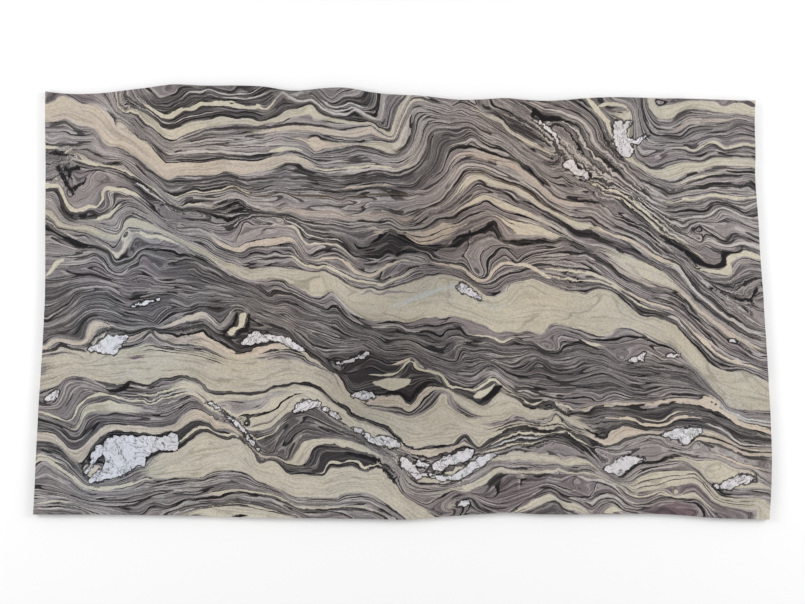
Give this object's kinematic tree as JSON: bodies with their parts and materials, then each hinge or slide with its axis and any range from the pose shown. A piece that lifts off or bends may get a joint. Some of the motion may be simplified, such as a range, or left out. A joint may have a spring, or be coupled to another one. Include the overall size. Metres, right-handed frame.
{
  "type": "quartzite slab",
  "caption": "Raw polished slab of banded quartzite, flat on its sawn back, with a wandering natural outline.",
  "frame": {"origin": "middle of the slab's bounding box, on the plane of its sawn back", "axes": "+X along the slab's long way, +Y up the face, +Z out of the polished face"},
  "size_m": [3.0504, 1.7998, 0.03],
  "materials": {
    "banded_quartzite": "polished face, sawn back, rough broken edges"
  },
  "bodies": {
    "root": {"slab": "banded_quartzite"}
  },
  "joints": []
}
